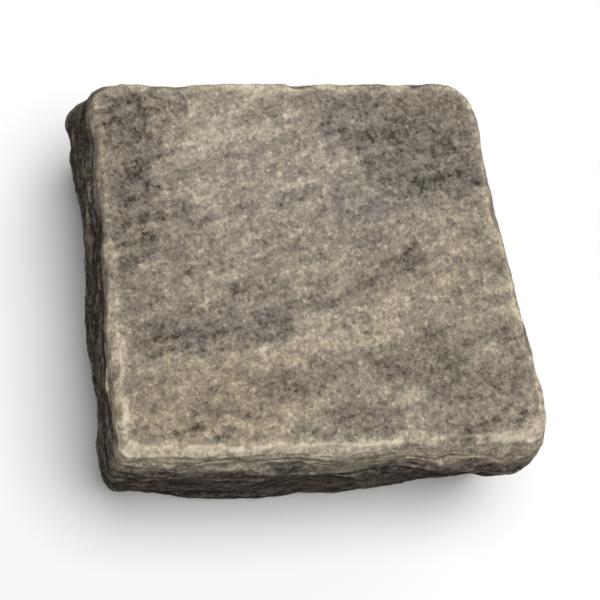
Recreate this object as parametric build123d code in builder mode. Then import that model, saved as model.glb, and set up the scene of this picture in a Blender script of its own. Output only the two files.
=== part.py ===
from build123d import *

import os

# A hand-cropped sandstone cobblestone (sett), one solid piece of stone lying on its bed with the
# wearing face up. The origin is the middle of its footprint at the level of the bed, with +X to
# the right along the front wall, +Y to the back and +Z up. Sizes are in millimetres.

# The wearing face is a rectangle that the stone's own corners miss by a little each.
face_width = 147.0
face_depth = 130.0
stone_height = 60.0

# Heights of the sections: the bevel that wear has left round the face ends at the shoulder, and
# the waist is where the back left corner is fullest.
shoulder_drop = 9.0
waist_height = 26.0

# How far each corner of the face falls inside the rectangle, along X and along Y.
corner_short = {
    "front_left": (7.5, 0.0),
    "front_right": (0.0, 8.0),
    "back_right": (15.7, 0.0),
    "back_left": (0.0, 7.0),
}

# How each upright corner is rounded.
corner_radius = {"front_left": 4.0, "front_right": 8.0, "back_right": 15.0, "back_left": 7.0}

# How far each corner stands outside the face's at the lower sections, along X and along Y.
corner_out = {
    "face": {"front_left": (0, 0), "front_right": (0, 0), "back_right": (0, 0), "back_left": (0, 0)},
    "shoulder": {
        "front_left": (2.0, 4.0),
        "front_right": (0.2, 7.0),
        "back_right": (1.7, 1.5),
        "back_left": (3.0, 2.0),
    },
    "waist": {
        "front_left": (0.5, 3.0),
        "front_right": (-0.6, 3.5),
        "back_right": (0.7, 1.0),
        "back_left": (5.0, 1.5),
    },
    "bed": {
        "front_left": (-3.2, 0.3),
        "front_right": (-2.2, -1.0),
        "back_right": (-2.3, -2.0),
        "back_left": (-3.2, -3.0),
    },
}

# How far each side stands outside its chord at one third and at two thirds of its length.
side_swell = {
    "face": {"front": (2.7, 2.2), "right": (-1.2, -2.9), "back": (0.6, 0.1), "left": (-0.5, -0.5)},
    "shoulder": {"front": (0.4, 0.4), "right": (0.2, -2.2), "back": (0.6, 0.4), "left": (-0.6, -0.3)},
    "waist": {"front": (1.8, 2.0), "right": (0.6, -1.0), "back": (0.8, 0.2), "left": (-1.6, 0.2)},
    "bed": {"front": (3.2, 3.2), "right": (0.1, -1.6), "back": (0.1, 0.4), "left": (-0.8, 0.4)},
}

# Wear on the edges round the face and round the bed.
arris_bevel = 1.4
bed_bevel = 2.0

# Shell-shaped scars where the walls were cropped: the share of the side's length at which each
# stands, the share of the stone's height, the shell's radius and how deep it bites.
wall_scars = {
    "front": [(0.14, 0.34, 44.0, 1.8), (0.45, 0.38, 64.0, 2.2), (0.76, 0.34, 50.0, 2.2)],
    "right": [(0.14, 0.34, 56.0, 2.8), (0.45, 0.14, 60.0, 3.0), (0.76, 0.46, 48.0, 2.4)],
    "back": [(0.24, 0.30, 56.0, 2.6), (0.55, 0.52, 60.0, 2.4), (0.82, 0.16, 46.0, 2.8)],
    "left": [(0.36, 0.20, 58.0, 2.6), (0.58, 0.08, 34.0, 2.2), (0.80, 0.14, 38.0, 2.6)],
}

# Ledges where the wall has split along the bedding: the share of the side's length, the bedding
# plane's share of the stone's height, the curve's radius, the bite, and how far above the plane (or
# below it, if negative) the wall has come away, as a share of the stone's height.
wall_ledges = {
    "front": [
        (0.30, 0.91, 420.0, 1.2, 0.07),
        (0.74, 0.89, 300.0, 1.3, 0.08),
        (0.52, 0.75, 520.0, 1.5, 0.08),
        (0.16, 0.60, 240.0, 1.4, 0.12),
        (0.80, 0.57, 280.0, 1.5, 0.13),
        (0.50, 0.50, 400.0, 1.4, -0.15),
    ],
    "right": [(0.30, 0.83, 320.0, 1.3, 0.08), (0.66, 0.70, 460.0, 1.4, 0.12), (0.34, 0.55, 300.0, 1.5, -0.13)],
    "back": [(0.70, 0.83, 380.0, 1.3, 0.08), (0.28, 0.73, 320.0, 1.4, 0.10), (0.56, 0.50, 460.0, 1.4, -0.13)],
    "left": [(0.66, 0.88, 380.0, 1.2, 0.07), (0.30, 0.77, 300.0, 1.4, 0.10), (0.72, 0.62, 260.0, 1.4, -0.15)],
}

# Chips off the arris: the share of the side's length, the shell's radius and its bite.
arris_chips = {
    "front": [(0.66, 12.0, 1.2), (0.80, 10.0, 1.0)],
    "right": [(0.26, 18.0, 1.4), (0.62, 22.0, 1.5)],
    "back": [(0.47, 9.0, 1.7), (0.80, 16.0, 1.2)],
    "left": [(0.42, 20.0, 1.2), (0.78, 15.0, 1.3)],
}

section_height = {
    "bed": 0.0,
    "waist": waist_height,
    "shoulder": stone_height - shoulder_drop,
    "face": stone_height,
}
corner_signs = {"front_left": (-1, -1), "front_right": (1, -1), "back_right": (1, 1), "back_left": (-1, 1)}
side_corners = {
    "front": ("front_left", "front_right"),
    "right": ("front_right", "back_right"),
    "back": ("back_right", "back_left"),
    "left": ("back_left", "front_left"),
}


def corner_point(section, corner):
    """Where a corner of a section stands, before it is rounded."""
    sign_x, sign_y = corner_signs[corner]
    short_x, short_y = corner_short[corner]
    out_x, out_y = corner_out[section][corner]
    x = sign_x * (face_width / 2 - short_x + out_x)
    y = sign_y * (face_depth / 2 - short_y + out_y)
    return Vector(x, y, section_height[section])


def side_points(section, side):
    """A side's two corners, with the control points between them of the cubic curve that stands
    out by the side's swell at one third and at two thirds of the chord."""
    start, end = [corner_point(section, corner) for corner in side_corners[side]]
    chord = end - start
    outward = Vector(chord.Y, -chord.X).normalized()
    near, far = side_swell[section][side]
    first = start + chord / 3 + outward * (3 * near - 1.5 * far)
    second = start + chord * 2 / 3 + outward * (3 * far - 1.5 * near)
    return [start, first, second, end]


def outline(section):
    """A section's outline: four swelling sides with rounded corners between them."""
    height = Vector(0, 0, section_height[section])
    with BuildSketch(Plane.XY.offset(height.Z)) as sketch:
        with BuildLine():
            for side in side_corners:
                Bezier(*[point - height for point in side_points(section, side)])
        make_face()
        for corner, radius in corner_radius.items():
            vertex = sketch.vertices().sort_by_distance(corner_point(section, corner))[0]
            fillet(vertex, radius)
    return sketch.sketch


def wall_point(side, share, height):
    """The point of a side's wall at a share of its length and a height, and the direction out of
    the wall there, from the curves of the sections above and below it."""
    names = list(section_height)
    upper = next(name for name in names[1:] if height <= section_height[name])
    lower = names[names.index(upper) - 1]
    rise = (height - section_height[lower]) / (section_height[upper] - section_height[lower])
    low = side_points(lower, side)
    high = side_points(upper, side)
    start, first, second, end = [a + (b - a) * rise for a, b in zip(low, high)]
    rest = 1 - share
    inner = first * (3 * rest * rest * share) + second * (3 * rest * share * share)
    chord = end - start
    outward = Vector(chord.Y, -chord.X).normalized()
    return start * rest**3 + inner + end * share**3, outward


with BuildPart() as cobblestone:
    # The walls run smoothly through the four sections.
    loft([outline(section) for section in section_height])
    chamfer(cobblestone.edges().group_by(Axis.Z)[-1], arris_bevel)
    chamfer(cobblestone.edges().group_by(Axis.Z)[0], bed_bevel)

    # Each scar's shell has its centre outside the wall, level with the scar.
    for side, scars in wall_scars.items():
        for share, rise, radius, bite in scars:
            surface, outward = wall_point(side, share, rise * stone_height)
            with Locations(surface + outward * (radius - bite)):
                Sphere(radius, mode=Mode.SUBTRACT)

    # Each ledge is cut by a wide cone that stands outside the wall with its base on the bedding
    # plane, and draws back to the wall's own surface over the ledge's height.
    for side, ledges in wall_ledges.items():
        for share, plane, radius, bite, rise in ledges:
            surface, outward = wall_point(side, share, plane * stone_height)
            ahead, _ = wall_point(side, share, (plane + rise) * stone_height)
            drawn_back = bite + (surface - ahead).dot(outward)
            turn = 0 if rise > 0 else 180
            base = surface + outward * (radius - bite)
            with Locations(Location(base, (turn, 0, 0))):
                Cone(
                    radius,
                    radius - drawn_back,
                    abs(rise) * stone_height,
                    align=(Align.CENTER, Align.CENTER, Align.MIN),
                    mode=Mode.SUBTRACT,
                )

    # Each chip's shell has its centre out from the arris, half outwards and half up.
    for side, chips in arris_chips.items():
        for share, radius, bite in chips:
            surface, outward = wall_point(side, share, stone_height)
            slant = (outward + Vector(0, 0, 1)).normalized()
            with Locations(surface + slant * (radius - bite)):
                Sphere(radius, mode=Mode.SUBTRACT)

# The middle of the footprint comes to the origin.
footprint = cobblestone.part.bounding_box().center()
cobblestone.part.move(Location((-footprint.X, -footprint.Y, 0)))

cobblestone.part.label = "cobblestone"
os.makedirs("parts", exist_ok=True)
export_step(cobblestone.part, "parts/cobblestone.step")
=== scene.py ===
from math import radians

import bpy
import numpy as np
from mathutils import Euler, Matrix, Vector


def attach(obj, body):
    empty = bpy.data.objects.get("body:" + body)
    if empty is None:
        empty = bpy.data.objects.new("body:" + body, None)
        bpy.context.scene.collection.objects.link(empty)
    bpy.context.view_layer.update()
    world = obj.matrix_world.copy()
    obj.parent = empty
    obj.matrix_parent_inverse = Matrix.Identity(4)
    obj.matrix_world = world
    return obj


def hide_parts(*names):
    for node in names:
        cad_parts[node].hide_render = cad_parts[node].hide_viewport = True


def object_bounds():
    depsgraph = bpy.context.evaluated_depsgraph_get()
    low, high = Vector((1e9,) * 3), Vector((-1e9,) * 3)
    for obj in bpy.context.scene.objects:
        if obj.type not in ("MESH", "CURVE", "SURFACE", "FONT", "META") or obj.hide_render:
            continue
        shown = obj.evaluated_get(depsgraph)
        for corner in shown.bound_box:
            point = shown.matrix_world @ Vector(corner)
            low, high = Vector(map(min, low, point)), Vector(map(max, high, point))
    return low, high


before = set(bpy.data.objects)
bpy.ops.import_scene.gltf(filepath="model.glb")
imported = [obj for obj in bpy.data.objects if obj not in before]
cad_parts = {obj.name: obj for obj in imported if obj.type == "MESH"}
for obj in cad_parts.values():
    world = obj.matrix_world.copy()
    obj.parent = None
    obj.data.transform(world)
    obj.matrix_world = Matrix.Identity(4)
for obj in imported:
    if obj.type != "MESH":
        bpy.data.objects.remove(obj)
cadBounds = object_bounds()


# Noise
# Its table of random slopes, the primes that pick a slope for each corner of the lattice, and what
# brings its height to about 1.
lattice = {"slopes": 4096, "primes": (73856093, 19349663, 83492791), "height": 1.6}


# Smooth noise from about -1 to 1: every corner of a cubic lattice has a random slope, and a point
# takes the eight slopes round it, each times the way to its corner, faded into each other.
def gradientNoise(points, cell, seed):
    rng = np.random.default_rng(seed)
    slopes = rng.normal(size=(lattice["slopes"], 3))
    slopes /= np.linalg.norm(slopes, axis=1)[:, None]
    q = points / np.asarray(cell, float)
    low = np.floor(q).astype(np.int64)
    part = q - low
    fade = part ** 3 * (part * (part * 6 - 15) + 10)
    total = np.zeros(len(points))
    for corner in range(8):
        step = np.array([corner & 1, corner >> 1 & 1, corner >> 2 & 1])
        at = low + step
        mixed = at * np.array(lattice["primes"])
        index = (mixed[:, 0] ^ mixed[:, 1] ^ mixed[:, 2]) % lattice["slopes"]
        weight = np.prod(np.where(step == 1, fade, 1 - fade), axis=1)
        total += weight * np.sum(slopes[index] * (part - step), axis=1)
    return total * lattice["height"]


# Layers of noise, each at half the size and a set share of the height of the one before.
def layeredNoise(points, cell, seed, layers=4, share=0.5):
    total = np.zeros(len(points))
    height = 1.0
    for layer in range(layers):
        total += height * gradientNoise(points, np.asarray(cell) / 2 ** layer, seed + layer)
        height *= share
    return total


# 0 below low, 1 above high, with an even ease between them.
def ease(values, low, high):
    t = np.clip((values - low) / (high - low), 0, 1)
    return t * t * (3 - 2 * t)


# The stone
mm = 0.001

# The stone's body, as in its solid. The levels rise from the bed to the face. Every corner has its
# rounding and its place in plan at each level, and every side has how far it stands outside its
# chord at one third and at two thirds of its length.
body = {
    "levels": (0, 26, 51, 60),
    "corners": {
        "frontLeft": {"radius": 4, "x": (-60.7, -64.4, -65.9, -63.9), "y": (-63.7, -66.4, -67.4, -63.4)},
        "frontRight": {"radius": 8, "x": (73.4, 75.0, 75.8, 75.6), "y": (-54.4, -58.9, -62.4, -55.4)},
        "backRight": {"radius": 15, "x": (57.6, 60.6, 61.6, 59.9), "y": (64.6, 67.6, 68.1, 66.6)},
        "backLeft": {"radius": 7, "x": (-68.2, -76.4, -74.4, -71.4), "y": (56.6, 61.1, 61.6, 59.6)},
    },
    "swell": {
        "front": ((3.2, 3.2), (1.8, 2.0), (0.4, 0.4), (2.7, 2.2)),
        "right": ((0.1, -1.6), (0.6, -1.0), (0.2, -2.2), (-1.2, -2.9)),
        "back": ((0.1, 0.4), (0.8, 0.2), (0.6, 0.4), (0.6, 0.1)),
        "left": ((-0.8, 0.4), (-1.6, 0.2), (-0.6, -0.3), (-0.5, -0.5)),
    },
    "arris": 0.5,              # rounding round the face
    "foot": 2.5,               # rounding round the bed
    "cornerBlend": 4,          # reach over which one wall's values give way to the next one's
}
cornerNames = ["frontLeft", "frontRight", "backRight", "backLeft"]
sideNames = ["front", "right", "back", "left"]

# Shell-shaped scars: the side, the share of its length and of the height, the shell's radius, bite.
scars = [
    ("front", 0.14, 0.34, 44, 1.8), ("front", 0.45, 0.38, 64, 2.2), ("front", 0.76, 0.34, 50, 2.2),
    ("right", 0.14, 0.34, 56, 2.8), ("right", 0.45, 0.14, 60, 3.0), ("right", 0.76, 0.46, 48, 2.4),
    ("back", 0.24, 0.30, 56, 2.6), ("back", 0.55, 0.52, 60, 2.4), ("back", 0.82, 0.16, 46, 2.8),
    ("left", 0.36, 0.20, 58, 2.6), ("left", 0.58, 0.08, 34, 2.2), ("left", 0.80, 0.14, 38, 2.6),
]

# Ledges along the bedding: the side, the share of its length, the bedding plane's share of the
# height, the curve's radius, the bite, and how far above the plane (below it, if negative) the wall
# came away, as a share of the height.
ledges = [
    ("front", 0.30, 0.91, 420, 1.2, 0.07), ("front", 0.74, 0.89, 300, 1.3, 0.08),
    ("front", 0.52, 0.75, 520, 1.5, 0.08), ("front", 0.16, 0.60, 240, 1.4, 0.12),
    ("front", 0.80, 0.57, 280, 1.5, 0.13), ("front", 0.50, 0.50, 400, 1.4, -0.15),
    ("right", 0.30, 0.83, 320, 1.3, 0.08), ("right", 0.66, 0.70, 460, 1.4, 0.12),
    ("right", 0.34, 0.55, 300, 1.5, -0.13), ("back", 0.70, 0.83, 380, 1.3, 0.08),
    ("back", 0.28, 0.73, 320, 1.4, 0.10), ("back", 0.56, 0.50, 460, 1.4, -0.13),
    ("left", 0.66, 0.88, 380, 1.2, 0.07), ("left", 0.30, 0.77, 300, 1.4, 0.10),
    ("left", 0.72, 0.62, 260, 1.4, -0.15),
]

# Chips off the arris: the side, the share of its length, the shell's radius, bite.
chips = [
    ("front", 0.66, 12, 1.2), ("front", 0.80, 10, 1.0), ("right", 0.26, 18, 1.4), ("right", 0.62, 22, 1.5),
    ("back", 0.47, 9, 1.7), ("back", 0.80, 16, 1.2), ("left", 0.42, 20, 1.2), ("left", 0.78, 15, 1.3),
]

grid = {
    "spacing": 0.85,           # between points of the face
    "wallRows": 92,            # rows of points up the walls
    "crowding": 1.15,          # above 1 the rows stand closer under the arris
    "bedRings": 10,            # rings of points from the foot to the middle of the bed
    "fan": 9.0,                # how wide the points fan out round an edge
    "steps": 26,               # towards the surface
    "fineSteps": 10,           # of them with the relief
    "stride": 0.8,             # share of its distance that a point moves in one step
}


# A closed block of points round the box from low to high. The face is a grid of u by v, the walls
# carry its border down in rows, and the bed closes in rings to one point. Gives the points, the
# quads, the triangles and the counts of the face's grid and of the walls' rows and columns.
def blockPoints(low, high, values):
    size = high - low
    nx = int(round(size[0] / (values["spacing"] * mm)))
    ny = int(round(size[1] / (values["spacing"] * mm)))
    x = np.linspace(low[0], high[0], nx + 1)
    y = np.linspace(low[1], high[1], ny + 1)
    gridX, gridY = np.meshgrid(x, y, indexing="ij")
    number = np.arange((nx + 1) * (ny + 1)).reshape(nx + 1, ny + 1)
    face = np.stack([gridX.ravel(), gridY.ravel(), np.full(gridX.size, high[2])], axis=1)
    cells = [number[:-1, :-1], number[1:, :-1], number[1:, 1:], number[:-1, 1:]]
    quads = [np.stack(cells, axis=-1).reshape(-1, 4)]
    border = np.concatenate([number[:-1, 0], number[-1, :-1], number[:0:-1, -1], number[0, :0:-1]])
    rows = values["wallRows"]
    count = len(border)
    ring = face[border]
    wall = np.repeat(ring[None], rows, axis=0)
    wall[:, :, 2] = (high[2] - (np.arange(1, rows + 1) / rows) ** values["crowding"] * size[2])[:, None]
    start = len(face)
    wallNumber = np.concatenate([border[None], start + np.arange(rows * count).reshape(rows, count)])
    rings = values["bedRings"]
    middle = (low + high) / 2
    shrink = 1 - np.arange(1, rings) / rings
    bed = middle + (ring - middle)[None] * shrink[:, None, None]
    bed[:, :, 2] = low[2]
    bedStart = start + rows * count
    bedNumber = bedStart + np.arange((rings - 1) * count).reshape(rings - 1, count)
    bands = np.concatenate([wallNumber, bedNumber])
    after = np.roll(bands, -1, axis=1)
    quads.append(np.stack([bands[:-1], bands[1:], after[1:], after[:-1]], axis=-1).reshape(-1, 4))
    pole = bedStart + (rings - 1) * count
    triangles = np.stack([bands[-1], np.full(count, pole), after[-1]], axis=-1)
    last = np.array([[middle[0], middle[1], low[2]]])
    points = np.concatenate([face, wall.reshape(-1, 3), bed.reshape(-1, 3), last])
    return points, np.concatenate(quads), triangles, ((nx + 1, ny + 1), (rows, count))


# How far values stand over the mean of their neighbours on a grid, up to a reach on each side.
def overNeighbours(values, reach):
    mean = values
    for axis, steps in enumerate(reach):
        pads = [(steps, steps) if a == axis else (0, 0) for a in range(2)]
        wide = np.pad(mean, pads, mode="edge")
        count = values.shape[axis]
        mean = sum(np.take(wide, range(i, i + count), axis) for i in range(2 * steps + 1)) / (2 * steps + 1)
    return values - mean


# A value at the given heights: one cubic curve through its values at the four levels.
def alongHeight(values, z):
    levels = np.array(body["levels"]) * mm
    curve = np.polyfit(levels, np.array(values) * mm, 3)
    return np.polyval(curve, np.clip(z, levels[0], levels[-1]))


# The corners' places in plan at the given heights.
def cornersAt(z):
    corners = [body["corners"][name] for name in cornerNames]
    return [(alongHeight(corner["x"], z), alongHeight(corner["y"], z)) for corner in corners]


# How far a side stands outside its chord, at a share of its length and a height: the cubic curve
# along the chord that is zero at both ends and has the side's two swells at one and two thirds.
def swellAt(side, share, z):
    near = alongHeight([pair[0] for pair in body["swell"][side]], z)
    far = alongHeight([pair[1] for pair in body["swell"][side]], z)
    return 13.5 * share * (1 - share) * (near * (2 / 3 - share) + far * (share - 1 / 3))


# How far each point stands outside each of the four walls: its way out from the chord between two
# corners, less the side's swell there. Gives the distances and the shares of the sides' lengths.
def wallDistances(points):
    z = points[:, 2]
    places = cornersAt(z)
    distances, shares = [], []
    for index, side in enumerate(sideNames):
        startX, startY = places[index]
        endX, endY = places[(index + 1) % 4]
        runX, runY = endX - startX, endY - startY
        length = np.hypot(runX, runY)
        wayX, wayY = points[:, 0] - startX, points[:, 1] - startY
        share = np.clip((wayX * runX + wayY * runY) / length ** 2, 0, 1)
        distances.append((wayX * runY - wayY * runX) / length - swellAt(side, share, z))
        shares.append(share)
    return distances, shares


# One value at each point from the four sides' own values, weighed by how near each wall is: e to
# the power of its distance over a short reach, less that of the nearest wall.
def fromSides(distances, values):
    nearest = np.maximum.reduce(distances)
    weights = [np.exp((distance - nearest) / (body["cornerBlend"] * mm)) for distance in distances]
    return sum(weight * value for weight, value in zip(weights, values)) / sum(weights)


# How worn the arris is at each point: each side's own pairs with straight lines between them.
def wornAt(distances, shares):
    values = [np.interp(share, *zip(*worn[side])) for share, side in zip(shares, sideNames)]
    return fromSides(distances, values)


# How far the crust and the painted shade sink the tone at each point: each side's amount, eased
# in between its two depths below the face, where the depth wanders by noise.
def crustAndShadeAt(points, depth, distances):
    wander = depth + waveAt(points, "crustAndShadeBorder")
    values = []
    for side in sideNames:
        start, end, amount = crustAndShade[side]
        values.append(amount * ease(wander, start * mm, end * mm))
    return fromSides(distances, values)


# The larger of two distances, with the edge between them rounded to a radius: inside the edge the
# distance is that to a circle of the radius, and elsewhere it is the larger one as it stands.
def roundedMax(a, b, radius):
    rounded = np.hypot(np.maximum(a + radius, 0), np.maximum(b + radius, 0))
    return np.minimum(np.maximum(a, b), -radius) + rounded


# A point on a side at a share of its length and a height, and the way out of the wall there.
def wallPoint(side, share, height):
    index = sideNames.index(side)
    places = cornersAt(height)
    start = np.array(places[index])
    end = np.array(places[(index + 1) % 4])
    run = end - start
    out = np.array([run[1], -run[0], 0]) / np.linalg.norm(run)
    return np.array([*(start + run * share), height]) + out * swellAt(side, share, height), out


# How worn the arris is along each side: pairs of a share of the side's length and a strength.
worn = {
    "front": ((0, 1.0), (0.6, 0.9), (0.72, 0.55), (1, 0.85)),
    "right": ((0, 0.7), (0.4, 0.45), (1, 0.25)),
    "back": ((0, 0.15), (1, 0.15)),
    "left": ((0, 0.1), (0.35, 0.25), (0.6, 0.75), (1, 1.0)),
}

# The lower walls darken towards the bed, partly a dark crust and partly painted shade, strongest on
# the front and left walls: for each side, the depths below the face between which it sets in, in mm,
# and how far it sinks the tone.
crustAndShade = {
    "front": (7, 14, -0.57),
    "right": (6, 18, -0.22),
    "back": (6, 18, -0.22),
    "left": (2.5, 7, -0.60),
}

# Every kind of relief that is noise: its height in mm, the size of its cells along X, Y and Z, its
# seed, its layers and the share of the height of one layer that the next one has.
waves = {
    "face": (0.45, (38, 38, 38), 81, 2, 0.5),
    "faceRipple": (0.14, (9, 6, 8), 91, 3, 0.5),
    "faceGrain": (0.08, (1.9, 1.9, 1.9), 101, 2, 0.5),
    "wall": (0.5, (30, 30, 24), 41, 2, 0.5),
    "wallGrain": (0.20, (3.2, 3.2, 2.4), 71, 3, 0.6),
    "bed": (0.20, (22, 22, 22), 111, 2, 0.5),
    "plates": (2.2, (34, 34, 34), 51, 2, 0.5),
    "wear": (0.5, (11, 11, 11), 121, 2, 0.5),
    "nicks": (0.9, (7, 7, 7), 131, 2, 0.5),
    # How far the border of the crust and its painted shade wanders.
    "crustAndShadeBorder": (2.4, (16, 16, 8), 141, 3, 0.5),
    "hollowBorder": (6.0, (17, 17, 17), 136, 5, 0.62),
}

relief = {
    "flakes": ((1.9, 24, 151), (0.8, 9, 152)),     # depth, size and seed of the flake scars
    "flakeHeight": 0.8,                    # of a flake scar, as a share of its width
    "flakeRise": 0.25,                     # of the ridges between them, as a share of the depth
    "plates": ((1.2, 5.4, 30, 56), (0.65, 2.3, 17, 57)),   # step, thickness, length and seed
    "plateShift": 0.37,                    # from one plate's noise to the next, as a share of the length
    "plateEdge": 0.72,                     # share of the thickness above which the step begins
    "plateLayers": (3, 0.55),              # of the noise of their edges, and each one's share of the last
    "calmFoot": (9, 0.5),                  # reach above the bed, and what is left of the relief there
    "calmArris": (9, 0.4),                 # reach below the arris, and what is lost of the relief there
    "inScars": 0.7,                        # share of the rough relief inside the shell scars
    "inLedges": 0.6,                       # share of the plates' steps inside the ledges
    "ledgeWander": 0.5,                    # share of the rough relief that moves a ledge's plane
    "wearDepth": (0.45, 0.95),             # where the arris isn't worn, and what full wear adds
    "nicks": (0.3, 1.6),                   # the height that their noise has to pass, and their depth
    "hollowStep": (-0.5, 0.5),             # where a hollow's step begins and ends, inside its border
    "hollowTone": (-2.0, 2.5),             # the same of its tone
}

# Where a thin layer has come off the face: an oval's middle and half size in mm, its turn in
# degrees, the step down in mm and what it adds to the tone.
hollows = {
    "left": ((-66, 30), (15, 36), 0, 0.42, -0.15),
    "backRight": ((44, 47), (29, 19), 10, 0.30, -0.11),
    "frontRight": ((55, -40), (27, 14), 14, 0.32, -0.06),
    "middle": ((-27, -21), (37, 8), 16, 0.22, -0.06),
}


# One kind of relief at each point: layers of noise in its own cells, times its height.
def waveAt(points, name):
    height, cell, seed, layers, share = waves[name]
    return height * mm * layeredNoise(points, np.array(cell) * mm, seed, layers, share)


# How far the walls stand out between their flake scars: the noise's own size, turned down, is
# hollow inside each scar and sharp along the ridges where two of them meet.
def flakeRelief(points):
    total = 0
    for depth, size, seed in relief["flakes"]:
        cell = np.array([size, size, size * relief["flakeHeight"]]) * mm
        noise = gradientNoise(points, cell, seed)
        total = total + depth * mm * (relief["flakeRise"] - np.abs(noise))
    return total


# How far the split plates of the walls stand out. The stone is a pile of wavy plates of one
# thickness, every plate's edge follows its own noise in plan, and one gives way to the next in a
# short step.
def plateRelief(points):
    waved = points[:, 2] + waveAt(points, "plates")
    layers, share = relief["plateLayers"]
    total = 0
    for step, thickness, length, seed in relief["plates"]:
        level = waved / (thickness * mm)
        low = np.floor(level)
        cell = np.full(3, length * mm)
        edges = []
        for index in (low, low + 1):
            shift = index * relief["plateShift"] * length * mm
            plan = np.stack([points[:, 0], points[:, 1], shift], axis=1)
            edges.append(layeredNoise(plan, cell, seed, layers, share))
        blend = ease(level - low, relief["plateEdge"], 1)
        total = total + step * mm * (edges[0] + (edges[1] - edges[0]) * blend)
    return total


# How far each point is inside each hollow of the face, in plan: one less its distance from the
# oval's middle in the oval's own half sizes, times the smaller of these, with a border that wanders
# by noise. Gives the step down and the tone that the hollows add up to there.
def hollowsAt(points):
    wander = waveAt(points * np.array([1, 1, 0]), "hollowBorder")
    down, tone = 0, 0
    for (middleX, middleY), (length, width), turn, step, added in hollows.values():
        wayX = points[:, 0] - middleX * mm
        wayY = points[:, 1] - middleY * mm
        c, s = np.cos(radians(turn)), np.sin(radians(turn))
        share = np.hypot((wayX * c + wayY * s) / length, (wayY * c - wayX * s) / width) / mm
        inside = (1 - share) * min(length, width) * mm + wander
        stepStart, stepEnd = relief["hollowStep"]
        toneStart, toneEnd = relief["hollowTone"]
        down = down + step * mm * ease(inside, stepStart * mm, stepEnd * mm)
        tone = tone + added * ease(inside, toneStart * mm, toneEnd * mm)
    return down, tone


# What is left of the walls' relief at a height: it eases down near the bed and near the arris.
def calmAt(z, top):
    footReach, left = relief["calmFoot"]
    arrisReach, lost = relief["calmArris"]
    overFoot = left + (1 - left) * ease(z, 0, footReach * mm)
    return overFoot * (1 - lost * ease(z, top - arrisReach * mm, top))


# How far each point stands outside the stone: the largest of its distances to the face, the bed
# and the walls, with every edge rounded, and of its depths in the scars, chips and ledges. With
# the relief, the face has slow waves, ripples, grain and hollows, the walls have waves, flake scars
# and split plates, and the arris is cut back by a slanted plane whose depth wanders along it. Also
# gives how far that plane stands over the rest, which is above zero on the worn arris only.
def stoneDistance(points, cuts, top, withRelief):
    z = points[:, 2]
    walls, shares = wallDistances(points)
    wall = None
    for index, name in enumerate(cornerNames):
        radius = body["corners"][name]["radius"] * mm
        corner = roundedMax(walls[index - 1], walls[index], radius)
        wall = corner if wall is None else np.maximum(wall, corner)
    face = z - top
    bed = -z
    rough, split = 0, 0
    if withRelief:
        calm = calmAt(z, top)
        rough = (waveAt(points, "wall") + waveAt(points, "wallGrain") + flakeRelief(points)) * calm
        split = plateRelief(points) * calm
        face = face - waveAt(points, "face") - waveAt(points, "faceRipple") - waveAt(points, "faceGrain")
        face = face + hollowsAt(points)[0]
        bed = bed - np.minimum(waveAt(points, "bed"), 0)
    wall = wall - rough - split
    distance = roundedMax(wall, face, body["arris"] * mm)
    distance = roundedMax(distance, bed, body["foot"] * mm)
    for centre, radius in cuts["shells"]:
        inside = radius - np.linalg.norm(points - centre, axis=1) - rough * relief["inScars"]
        distance = np.maximum(distance, inside)
    for centre, radius, shrink, rise in cuts["cones"]:
        above = (z - centre[2] + rough * relief["ledgeWander"]) * np.sign(rise)
        reach = np.hypot(points[:, 0] - centre[0], points[:, 1] - centre[1])
        inside = radius - shrink * above / abs(rise) - reach - rough - split * relief["inLedges"]
        distance = np.maximum(distance, np.minimum(np.minimum(inside, above), abs(rise) - above))
    if not withRelief:
        return distance, None
    least, added = relief["wearDepth"]
    wear = (least + added * wornAt(walls, shares)) * mm + waveAt(points, "wear")
    lowest, depth = relief["nicks"]
    nick = np.maximum(waveAt(points, "nicks") - lowest * mm, 0) * depth
    plane = (wall + face) / np.sqrt(2) + wear + nick
    return np.maximum(distance, plane), plane - distance


# Where the scars, chips and ledges are cut, from their shares of the sides' lengths: the shells'
# centres and radii, and for each ledge's cone the middle of its base, its radius, how much it
# draws in over its height, and that height.
def makeCuts(top):
    shells, cones = [], []
    for side, share, rise, radius, bite in scars:
        at, out = wallPoint(side, share, rise * top)
        shells.append((at + out * (radius - bite) * mm, radius * mm))
    for side, share, radius, bite in chips:
        at, out = wallPoint(side, share, top)
        slant = (out + np.array([0, 0, 1])) / np.sqrt(2)
        shells.append((at + slant * (radius - bite) * mm, radius * mm))
    for side, share, plane, radius, bite, rise in ledges:
        at, out = wallPoint(side, share, plane * top)
        ahead, _ = wallPoint(side, share, (plane + rise) * top)
        shrink = bite * mm + (at - ahead) @ out
        cones.append((at + out * (radius - bite) * mm, radius * mm, shrink, rise * top))
    return {"shells": shells, "cones": cones}


# A smooth mesh from whole arrays of points, quads and triangles.
def makeMesh(name, points, quads, triangles):
    mesh = bpy.data.meshes.new(name)
    mesh.vertices.add(len(points))
    mesh.vertices.foreach_set("co", points.astype(np.float32).ravel())
    corners = np.concatenate([quads.ravel(), triangles.ravel()]).astype(np.int32)
    mesh.loops.add(len(corners))
    mesh.loops.foreach_set("vertex_index", corners)
    quadStarts = np.arange(len(quads)) * 4
    triangleStarts = len(quads) * 4 + np.arange(len(triangles)) * 3
    starts = np.concatenate([quadStarts, triangleStarts]).astype(np.int32)
    mesh.polygons.add(len(starts))
    mesh.polygons.foreach_set("loop_start", starts)
    mesh.polygons.foreach_set("use_smooth", np.ones(len(starts), bool))
    mesh.update(calc_edges=True)
    return mesh


# One number for every point of a mesh, which its material reads by name.
def addValues(mesh, name, values):
    mesh.attributes.new(name, "FLOAT", "POINT").data.foreach_set("value", values.astype(np.float32))


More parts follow.
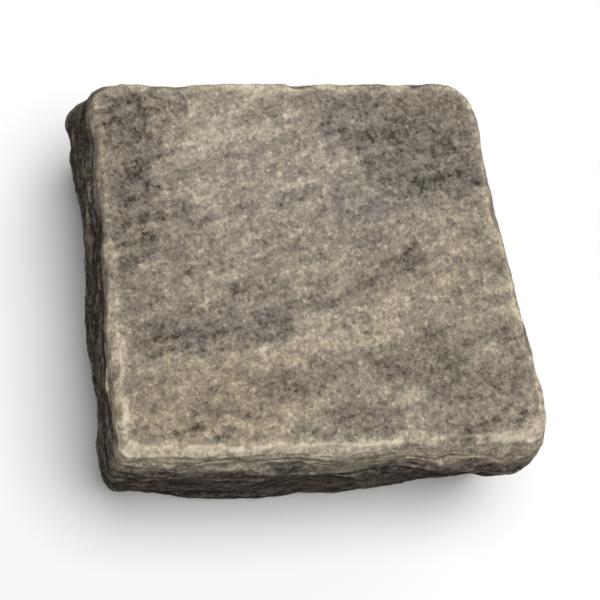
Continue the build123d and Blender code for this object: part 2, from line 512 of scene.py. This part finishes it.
# Where the material's values change, in mm.
zones = {
    "side": (1.2, 3.2),        # depth below the face over which the walls' look sets in
    "rim": (-0.45, 0.05),      # how far the arris plane stands over the rest where the rim sets in
    "rimZone": (-3.0, -0.2),   # the same of the zone beside it
    "faceReach": (4, 4),       # how many points on each side a point's height is compared with
    "wallReach": (4, 2),
    "mostHeight": 0.6,
}


# The line on which each point of the block looks for the surface. It starts in a core block, which
# is the box drawn in by the fan's width and then spread between the stone's corners at half its
# height, and it leaves in the direction in which the point stands from the drawn-in box.
def searchLines(points, low, high):
    fan = grid["fan"] * mm
    core = np.clip(points, low + fan, high - fan)
    way = points - core
    way /= np.maximum(np.linalg.norm(way, axis=1), 1e-9)[:, None]
    u = (core[:, 0] - low[0]) / (high[0] - low[0])
    v = (core[:, 1] - low[1]) / (high[1] - low[1])
    places = cornersAt(high[2] / 2)
    weights = [(1 - u) * (1 - v), u * (1 - v), u * v, (1 - u) * v]
    core[:, 0] = sum(weight * place[0] for weight, place in zip(weights, places))
    core[:, 1] = sum(weight * place[1] for weight, place in zip(weights, places))
    return core, way


# How far each point of the face and of the walls stands over its neighbours there, in mm.
def heightsAt(points, out, faceShape, wallShape):
    faceEnd = np.prod(faceShape)
    wallEnd = faceEnd + np.prod(wallShape)
    heights = np.zeros(len(points))
    face = points[:faceEnd, 2].reshape(faceShape)
    wall = out[faceEnd:wallEnd].reshape(wallShape)
    heights[:faceEnd] = overNeighbours(face, zones["faceReach"]).ravel()
    heights[faceEnd:wallEnd] = overNeighbours(wall, zones["wallReach"]).ravel()
    return np.clip(heights / mm, -zones["mostHeight"], zones["mostHeight"])


# The stone's mesh: every point of the block moves along its own line, in each step by a share of
# its distance to the stone, until it lies on the surface.
def makeStone():
    low, high = (np.array(corner) for corner in cadBounds)
    top = high[2]
    block, quads, triangles, (faceShape, wallShape) = blockPoints(low, high, grid)
    core, way = searchLines(block, low, high)
    cuts = makeCuts(top)
    out = np.full(len(core), grid["fan"] * mm)
    for step in range(grid["steps"]):
        fine = step >= grid["steps"] - grid["fineSteps"]
        distance, overArris = stoneDistance(core + way * out[:, None], cuts, top, fine)
        out -= distance * grid["stride"]
    points = core + way * out[:, None]
    print("stone:", len(points), "points,", len(quads) * 2 + len(triangles), "triangles, left over",
          round(float(np.abs(distance).max()) / mm, 3), "mm")

    mesh = makeMesh("sett", points, quads, triangles)
    walls, shares = wallDistances(points)
    depth = top - points[:, 2]
    strength = wornAt(walls, shares)
    sideStart, sideEnd = zones["side"]
    rimStart, rimEnd = zones["rim"]
    zoneStart, zoneEnd = zones["rimZone"]
    addValues(mesh, "side", ease(depth, sideStart * mm, sideEnd * mm))
    addValues(mesh, "rim", ease(overArris, rimStart * mm, rimEnd * mm) * strength)
    addValues(mesh, "rimZone", ease(overArris, zoneStart * mm, zoneEnd * mm) * strength)
    # The height over the neighbours, which the material turns into painted highlight on ridges and painted
    # shade in hollows, with rubbing and dirt.
    addValues(mesh, "height", heightsAt(points, out, faceShape, wallShape))
    # The crust with its painted shade, darker towards the bed and darkest on the front and left walls.
    addValues(mesh, "crustAndShade", crustAndShadeAt(points, depth, walls))
    addValues(mesh, "hollow", hollowsAt(points)[1])
    print("stone: side, rim, rimZone, height, crust and hollow for the material")
    piece = bpy.data.objects.new("sett", mesh)
    bpy.context.collection.objects.link(piece)
    return piece


piece = makeStone()
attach(piece, "root")
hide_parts("cobblestone")


# Material
# The stone's colours, from its darkest to its palest grains, each at its place on the scale of tone.
tones = [
    (0.00, (0.044, 0.036, 0.026)),
    (0.22, (0.131, 0.112, 0.087)),
    (0.40, (0.209, 0.182, 0.144)),
    (0.58, (0.290, 0.253, 0.195)),
    (0.72, (0.375, 0.320, 0.236)),
    (1.00, (0.600, 0.520, 0.388)),
    (1.35, (0.800, 0.710, 0.545)),
]

# What the material adds up to one tone at each point.
sandstone = {
    "tone": 0.54,              # of the face
    "sideTone": 0.74,          # of the walls just under the arris
    "rimTone": 0.32,           # added on the worn arris
    "rimZoneTone": 0.10,       # added beside it, in patches
    "rimPatches": (0.45, 1.0), # the values between which these patches set in
    # The next two give the painted highlight on ridges and painted shade in hollows, with rubbing and dirt.
    "faceHeight": 0.45,        # added per mm above the surface nearby, on the face
    "wallReliefShade": 0.55,        # and on the walls
    "bandTurn": 20,            # of the bands across the face, in degrees
    "warp": (16, 20, 6.0),     # size and reach in mm of the wandering of the patches, and its detail
    "bump": 0.22,              # height of the finest relief, in mm
    "roughness": 0.9,
    "shine": 0.25,             # strength of the reflection
}

# The veins: the size of their cells along X, Y and Z in mm, their strength and their detail.
veins = {
    "band": ((46, 6.5, 30), 0.21, 5.0),
    "fineBand": ((18, 2.6, 12), 0.15, 5.0),
    "lamina": ((40, 40, 1.9), 0.20, 4.0),
    "cloud": ((8, 8, 8), 0.12, 3.0),
    "mottle": ((3.2, 3.2, 3.2), 0.21, 5.0),
    "dust": ((0.35, 0.35, 0.35), 0.08, 1.0),
    "rimPatch": ((8, 8, 8), 0.5, 6.0),
    "rimVariety": ((5, 5, 2.5), 0.32, 5.0),
}

# The grains' size in mm and strength, and the single specks' size, share of the cells and strength.
grains = {"coarse": (1.2, 0.24), "fine": (0.65, 0.24)}
specks = {"dark": (1.7, 0.22, -0.15), "pale": (1.9, 0.18, 0.15), "crystal": (1.0, 0.07, 0.24)}

# Patches of the face: the middle in mm, half the length and the width, the turn in degrees and what
# each adds to the tone.
patches = {
    "leftEdge": ((-63, 36), (10, 26), 0, -0.05),
    "leftMiddle": ((-61, -5), (8, 10), 0, -0.09),
    "leftCorner": ((-50, 55), (13, 8), 35, -0.12),
    "backRight": ((32, 48), (28, 18), 8, -0.06),
    "backRightHeart": ((45, 41), (16, 13), 20, -0.10),
    "tongue": ((32, 25), (15, 5), 14, -0.18),
    "streak": ((31, 3), (9, 4), 30, -0.24),
    "rightGrey": ((58, 0), (9, 4), 10, 0.01),
    "band": ((-28, -21), (39, 8), 16, -0.06),
    "bandLeft": ((-46, -27), (16, 6), 6, -0.08),
    "bandTail": ((14, -8), (14, 4), 20, -0.08),
    "lowerRight": ((52, -38), (24, 13), 14, -0.05),
    "lowerStreak": ((30, -31), (17, 4), 27, -0.17),
    "spotOne": ((-4, -43), (6, 3), 25, -0.17),
    "spotTwo": ((6, -51), (11, 4), 12, -0.14),
    "upperTan": ((-32, 50), (20, 10), 40, 0.23),
    "leftTan": ((-44, 36), (8, 10), 0, 0.02),
    "leftMixed": ((-46, 9), (10, 12), 10, -0.14),
    "middle": ((-14, 24), (30, 18), 20, 0.09),
    "backMiddle": ((-8, 48), (12, 8), 20, 0.13),
    "rightTan": ((48, 13), (15, 7), 15, 0.11),
    "centre": ((4, 0), (12, 8), 10, 0.11),
    "risingTan": ((13, -20), (60, 7), 17, 0.14),
    "innerTan": ((30, -43), (10, 6), 15, 0.14),
    "lowerTan": ((-38, -43), (25, 11), 14, 0.01),
    "frontTan": ((-15, -54), (18, 6), 8, 0.12),
    "markOne": ((51.8, 47), (1.6, 1.1), 60, 0.32),
    "markTwo": ((51.4, 40), (1.3, 0.9), 20, 0.32),
    "markThree": ((43.6, 49.5), (1.1, 0.8), 0, 0.28),
    "markFour": ((44.8, 57), (1.0, 1.4), 0, 0.22),
    "markFive": ((-49.2, 21.5), (1.6, 1.1), 0, 0.30),
    "markSix": ((-37.4, 21.8), (1.9, 1.0), 150, 0.28),
    "markSeven": ((-41.4, 42.5), (1.4, 0.9), 20, 0.24),
}

# Where the face is warmer or cooler, as patches, and by how much its colour is multiplied where it
# is warmest and coolest. All of the stone starts from a middle value between the two.
warmPatches = {
    "left": ((-34, -46), (36, 17), 12, 0.5),
    "right": ((48, -6), (40, 20), 15, 0.1),
    "middle": ((4, 32), (52, 26), 8, -0.42),
    "band": ((-18, -20), (28, 9), 16, -0.25),
}
warmth = {"middle": 0.45, "warm": (1.03, 0.985, 0.92), "cool": (0.985, 1.0, 1.065)}


# A node of a tree, with values or links on its inputs by name or number.
def addNode(tree, kind, inputs=None, **settings):
    node = tree.nodes.new(kind)
    for name, value in settings.items():
        setattr(node, name, value)
    for name, value in (inputs or {}).items():
        if isinstance(value, bpy.types.NodeSocket):
            tree.links.new(value, node.inputs[name])
        else:
            node.inputs[name].default_value = value
    return node


# One step of arithmetic, on numbers or on vectors.
def reckon(tree, operation, *values):
    return addNode(tree, "ShaderNodeMath", dict(enumerate(values)), operation=operation).outputs[0]


def reckonVector(tree, operation, *values):
    node = addNode(tree, "ShaderNodeVectorMath", dict(enumerate(values)), operation=operation)
    return node.outputs[0]


# The sum of several values.
def addUp(tree, values):
    total = values[0]
    for value in values[1:]:
        total = reckon(tree, "ADD", total, value)
    return total


# An empty node group with its named inputs and outputs. Gives the tree, the inputs and the outputs.
def makeGroup(name, inputs, outputs):
    tree = bpy.data.node_groups.new(name, "ShaderNodeTree")
    for label, kind in inputs.items():
        tree.interface.new_socket(label, in_out="INPUT", socket_type="NodeSocket" + kind)
    for label, kind in outputs.items():
        tree.interface.new_socket(label, in_out="OUTPUT", socket_type="NodeSocket" + kind)
    return tree, tree.nodes.new("NodeGroupInput").outputs, tree.nodes.new("NodeGroupOutput").inputs


# How the groups below are made.
groupValues = {
    "veinRoughness": 0.62,     # of the noise
    "veinSpread": 4.0,         # brings the noise to about -1 to 1
    "speckEdge": (0.25, 0.6),  # from a grain's middle, in cells
    "patchEdge": (0.4, 1.45),  # from a patch's middle, in half sizes
}


# Noise from about -1 to 1, times its strength, in cells of a length, a width and a height.
def veinGroup():
    inputs = {"Vector": "Vector", "Cell": "Vector", "Turn": "Float",
              "Detail": "Float", "Strength": "Float"}
    tree, given, result = makeGroup("vein", inputs, {"Value": "Float"})
    turned = addNode(tree, "ShaderNodeVectorRotate", {"Vector": given["Vector"], "Angle": given["Turn"]},
                     rotation_type="Z_AXIS", invert=True)
    scaled = reckonVector(tree, "DIVIDE", turned.outputs[0], given["Cell"])
    noise = addNode(tree, "ShaderNodeTexNoise", {"Vector": scaled, "Scale": 1.0, "Detail": given["Detail"],
                                                 "Roughness": groupValues["veinRoughness"]})
    middle = reckon(tree, "SUBTRACT", noise.outputs[0], 0.5)
    spread = reckon(tree, "MULTIPLY", middle, groupValues["veinSpread"])
    tree.links.new(reckon(tree, "MULTIPLY", spread, given["Strength"]), result["Value"])
    return tree


# Grains side by side, each with its own value from minus to plus half its strength.
def grainGroup():
    inputs = {"Vector": "Vector", "Size": "Float", "Strength": "Float"}
    tree, given, result = makeGroup("grain", inputs, {"Value": "Float"})
    scale = reckon(tree, "DIVIDE", 1.0, given["Size"])
    cells = addNode(tree, "ShaderNodeTexVoronoi", {"Vector": given["Vector"], "Scale": scale})
    number = addNode(tree, "ShaderNodeSeparateColor", {0: cells.outputs["Color"]}).outputs[1]
    middle = reckon(tree, "SUBTRACT", number, 0.5)
    tree.links.new(reckon(tree, "MULTIPLY", middle, given["Strength"]), result["Value"])
    return tree


# Single grains: the cells whose number falls in the share stand out round their middles.
def speckGroup():
    inputs = {"Vector": "Vector", "Size": "Float", "Share": "Float", "Strength": "Float"}
    tree, given, result = makeGroup("speck", inputs, {"Value": "Float"})
    scale = reckon(tree, "DIVIDE", 1.0, given["Size"])
    cells = addNode(tree, "ShaderNodeTexVoronoi", {"Vector": given["Vector"], "Scale": scale})
    number = addNode(tree, "ShaderNodeSeparateColor", {0: cells.outputs["Color"]}).outputs[0]
    chosen = reckon(tree, "LESS_THAN", number, given["Share"])
    start, end = groupValues["speckEdge"]
    edge = {0: cells.outputs["Distance"], 1: start, 2: end, 3: 1.0, 4: 0.0}
    near = addNode(tree, "ShaderNodeMapRange", edge).outputs[0]
    value = reckon(tree, "MULTIPLY", chosen, near)
    tree.links.new(reckon(tree, "MULTIPLY", value, given["Strength"]), result["Value"])
    return tree


# A soft oval in plan, 1 in its middle and 0 outside, times its strength.
def patchGroup():
    inputs = {"Vector": "Vector", "Middle": "Vector", "Half Size": "Vector",
              "Turn": "Float", "Strength": "Float"}
    tree, given, result = makeGroup("patch", inputs, {"Value": "Float"})
    away = reckonVector(tree, "SUBTRACT", given["Vector"], given["Middle"])
    turned = addNode(tree, "ShaderNodeVectorRotate", {"Vector": away, "Angle": given["Turn"]},
                     rotation_type="Z_AXIS", invert=True)
    scaled = reckonVector(tree, "DIVIDE", turned.outputs[0], given["Half Size"])
    flat = reckonVector(tree, "MULTIPLY", scaled, (1, 1, 0))
    length = addNode(tree, "ShaderNodeVectorMath", {0: flat}, operation="LENGTH").outputs["Value"]
    start, end = groupValues["patchEdge"]
    edge = {0: length, 1: start, 2: end, 3: 1.0, 4: 0.0}
    soft = addNode(tree, "ShaderNodeMapRange", edge, interpolation_type="SMOOTHSTEP").outputs[0]
    tree.links.new(reckon(tree, "MULTIPLY", soft, given["Strength"]), result["Value"])
    return tree


groups = {"vein": veinGroup(), "grain": grainGroup(), "speck": speckGroup(), "patch": patchGroup()}


# The value of one of the groups, with its inputs.
def useGroup(tree, name, inputs):
    return addNode(tree, "ShaderNodeGroup", inputs, node_tree=groups[name]).outputs[0]


# The value that the mesh carries under a name.
def attribute(tree, name):
    return addNode(tree, "ShaderNodeAttribute", attribute_name=name).outputs["Fac"]


# One of the veins, read at a place.
def vein(tree, place, name, turn=0.0):
    cell, strength, detail = veins[name]
    inputs = {"Vector": place, "Cell": [size * mm for size in cell], "Turn": radians(turn),
              "Detail": detail, "Strength": strength}
    return useGroup(tree, "vein", inputs)


# The place that the patches read, moved about by noise so that their borders aren't ovals.
def wanderingPlace(tree, place):
    size, reach, detail = sandstone["warp"]
    look = {"Vector": place, "Scale": 1 / (size * mm), "Detail": detail}
    noise = addNode(tree, "ShaderNodeTexNoise", look)
    offset = reckonVector(tree, "SUBTRACT", noise.outputs["Color"], (0.5, 0.5, 0.5))
    scaled = addNode(tree, "ShaderNodeVectorMath", {0: offset, "Scale": reach * mm}, operation="SCALE")
    return reckonVector(tree, "ADD", place, scaled.outputs[0])


# The values of a set of patches at a place.
def patchValues(tree, place, chosen):
    values = []
    for (x, y), (length, width), turn, amount in chosen.values():
        inputs = {"Vector": place, "Middle": (x * mm, y * mm, 0), "Half Size": (length * mm, width * mm, 1),
                  "Turn": radians(turn), "Strength": amount}
        values.append(useGroup(tree, "patch", inputs))
    return values


# The face's patches, bands and hollows over its own tone.
def faceTone(tree, place, wandering):
    values = patchValues(tree, wandering, patches)
    values.append(vein(tree, wandering, "band", sandstone["bandTurn"]))
    values.append(vein(tree, place, "fineBand", sandstone["bandTurn"]))
    values.append(attribute(tree, "hollow"))
    return addUp(tree, values + [sandstone["tone"]])


# The wall's laminae, and its crust with painted shade, over its own tone.
def wallTone(tree, wandering):
    lamina = vein(tree, wandering, "lamina")
    return addUp(tree, [lamina, attribute(tree, "crustAndShade"), sandstone["sideTone"]])


# What the worn arris adds to the tone, and what the zone beside it adds in patches.
def rimTone(tree, place):
    patchy = reckon(tree, "ADD", vein(tree, place, "rimPatch"), attribute(tree, "rimZone"))
    start, end = sandstone["rimPatches"]
    edge = {0: patchy, 1: start, 2: end, 3: 0.0, 4: sandstone["rimZoneTone"]}
    beside = addNode(tree, "ShaderNodeMapRange", edge).outputs[0]
    varied = reckon(tree, "ADD", vein(tree, place, "rimVariety"), sandstone["rimTone"])
    worn = reckon(tree, "MULTIPLY", attribute(tree, "rim"), varied)
    return reckon(tree, "ADD", worn, beside)


# What a point adds to the tone because it stands over its neighbours: ridges are paler, partly
# rubbed and partly a painted highlight, and hollows darker, partly dirt and partly painted shade.
def reliefShadeTone(tree, side):
    amounts = {0: side, 2: sandstone["faceHeight"], 3: sandstone["wallReliefShade"]}
    amount = addNode(tree, "ShaderNodeMix", amounts).outputs[0]
    return reckon(tree, "MULTIPLY", amount, attribute(tree, "height"))


# The mottling, the dust, the grains and the specks.
def fineValues(tree, place):
    values = [vein(tree, place, "mottle"), vein(tree, place, "dust")]
    for size, strength in grains.values():
        inputs = {"Vector": place, "Size": size * mm, "Strength": strength}
        values.append(useGroup(tree, "grain", inputs))
    for size, share, strength in specks.values():
        inputs = {"Vector": place, "Size": size * mm, "Share": share, "Strength": strength}
        values.append(useGroup(tree, "speck", inputs))
    return addUp(tree, values)


# The colour of a tone, from the stone's own scale, made warmer or cooler by the patches.
def toneColour(tree, tone, wandering):
    brightest = tones[-1][0]
    ramp = addNode(tree, "ShaderNodeValToRGB", {0: reckon(tree, "DIVIDE", tone, brightest)})
    elements = ramp.color_ramp.elements
    while len(elements) < len(tones):
        elements.new(0.5)
    for element, (at, colour) in zip(elements, tones):
        element.position = at / brightest
        element.color = (*colour, 1)
    warm = addUp(tree, patchValues(tree, wandering, warmPatches) + [warmth["middle"]])
    ends = {0: warm, 6: (*warmth["cool"], 1), 7: (*warmth["warm"], 1)}
    tint = addNode(tree, "ShaderNodeMix", ends, data_type="RGBA").outputs[2]
    both = {0: 1.0, 6: ramp.outputs[0], 7: tint}
    return addNode(tree, "ShaderNodeMix", both, data_type="RGBA", blend_type="MULTIPLY").outputs[2]


# The tone is the face's or the wall's, with what the rim, the height's painted highlight and shade,
# the clouds and the grain add. The grain also gives the bump.
def sandstoneMaterial():
    material = bpy.data.materials.new("sandstone")
    material.use_nodes = True
    tree = material.node_tree
    principled = tree.nodes["Principled BSDF"]
    place = addNode(tree, "ShaderNodeTexCoord").outputs["Object"]
    wandering = wanderingPlace(tree, place)
    side = attribute(tree, "side")
    fine = fineValues(tree, place)

    both = {0: side, 2: faceTone(tree, place, wandering), 3: wallTone(tree, wandering)}
    broad = addNode(tree, "ShaderNodeMix", both).outputs[0]
    cloud = vein(tree, place, "cloud")
    tone = addUp(tree, [broad, rimTone(tree, place), reliefShadeTone(tree, side), cloud, fine])
    tree.links.new(toneColour(tree, tone, wandering), principled.inputs["Base Color"])

    principled.inputs["Roughness"].default_value = sandstone["roughness"]
    principled.inputs["Specular IOR Level"].default_value = sandstone["shine"]
    relief = {"Strength": 1.0, "Distance": sandstone["bump"] * mm, "Height": fine}
    bump = addNode(tree, "ShaderNodeBump", relief)
    tree.links.new(bump.outputs[0], principled.inputs["Normal"])
    return material


piece.data.materials.append(sandstoneMaterial())
print("material: sandstone")


# Studio
studio = {
    "cameraAt": (-0.1446, -0.2126, 0.630),
    "lookAt": (0.0006, -0.0039, 0.035),
    "tilt": 5.0,               # of the camera before it turns to its aim, in degrees
    "lens": 116.0,
    "sensor": 36.0,
    "lampAngle": 50.0,         # how wide each lamp is, in degrees
    "fill": 0.14,
    "floorSeen": 0.97,         # the floor's tone to the camera
    "floorBounce": 0.2,        # and to the light that it throws back
    "floorSize": 40.0,
}

# Where each lamp stands and its strength. The key is almost straight above, and the others are weak
# and low and show the walls' relief.
lamps = {
    "key": ((0.10, -0.02, 1.0), 2.6),
    "back": ((0.75, 0.65, 0.32), 0.75),
    "side": ((-0.75, -0.55, 0.22), 0.16),
}


# A wide flat square at the level of the bed, paler to the camera than to the light.
def makeFloor():
    half = studio["floorSize"] / 2
    corners = [(-half, -half, 0), (half, -half, 0), (half, half, 0), (-half, half, 0)]
    mesh = bpy.data.meshes.new("floor")
    mesh.from_pydata(corners, [], [(0, 1, 2, 3)])
    floor = bpy.data.objects.new("floor", mesh)
    bpy.context.collection.objects.link(floor)
    material = bpy.data.materials.new("floorPaint")
    material.use_nodes = True
    tree = material.node_tree
    principled = tree.nodes["Principled BSDF"]
    principled.inputs["Roughness"].default_value = 1.0
    principled.inputs["Specular IOR Level"].default_value = 0.0
    seen = addNode(tree, "ShaderNodeLightPath").outputs["Is Camera Ray"]
    bounce, shown = studio["floorBounce"], studio["floorSeen"]
    ends = {0: seen, 6: (bounce, bounce, bounce, 1), 7: (shown, shown, shown, 1)}
    colour = addNode(tree, "ShaderNodeMix", ends, data_type="RGBA")
    tree.links.new(colour.outputs[2], principled.inputs["Base Color"])
    mesh.materials.append(material)


# The world is plain white to the camera, and weak to everything else.
def makeWorld():
    world = bpy.data.worlds.new("studio")
    bpy.context.scene.world = world
    world.use_nodes = True
    tree = world.node_tree
    background = tree.nodes["Background"]
    background.inputs["Color"].default_value = (1, 1, 1, 1)
    seen = addNode(tree, "ShaderNodeLightPath").outputs["Is Camera Ray"]
    strength = addNode(tree, "ShaderNodeMix", {0: seen, 2: studio["fill"], 3: 1.0})
    tree.links.new(strength.outputs[0], background.inputs["Strength"])


# Wide suns, each shining from its place towards the stone.
def makeLights():
    for name, (place, strength) in lamps.items():
        lamp = bpy.data.lights.new(name, "SUN")
        lamp.energy = strength
        lamp.angle = radians(studio["lampAngle"])
        sun = bpy.data.objects.new(name, lamp)
        sun.rotation_euler = Vector(place).to_track_quat("Z", "Y").to_euler()
        bpy.context.collection.objects.link(sun)


# The camera looks down with its tilt, and then turns the shortest way to its aim.
def makeCamera():
    data = bpy.data.cameras.new("camera")
    data.lens = studio["lens"]
    data.sensor_width = studio["sensor"]
    camera = bpy.data.objects.new("camera", data)
    level = Euler((radians(studio["tilt"]), 0, 0)).to_quaternion()
    place = Vector(studio["cameraAt"])
    aim = Vector(studio["lookAt"]) - place
    turn = (level @ Vector((0, 0, -1))).rotation_difference(aim)
    camera.location = place
    camera.rotation_euler = (turn @ level).to_euler()
    bpy.context.collection.objects.link(camera)
    bpy.context.scene.camera = camera


makeFloor()
makeWorld()
makeLights()
makeCamera()
bpy.context.scene.view_settings.view_transform = "Standard"
print("studio: floor, world,", len(lamps), "lamps and camera")
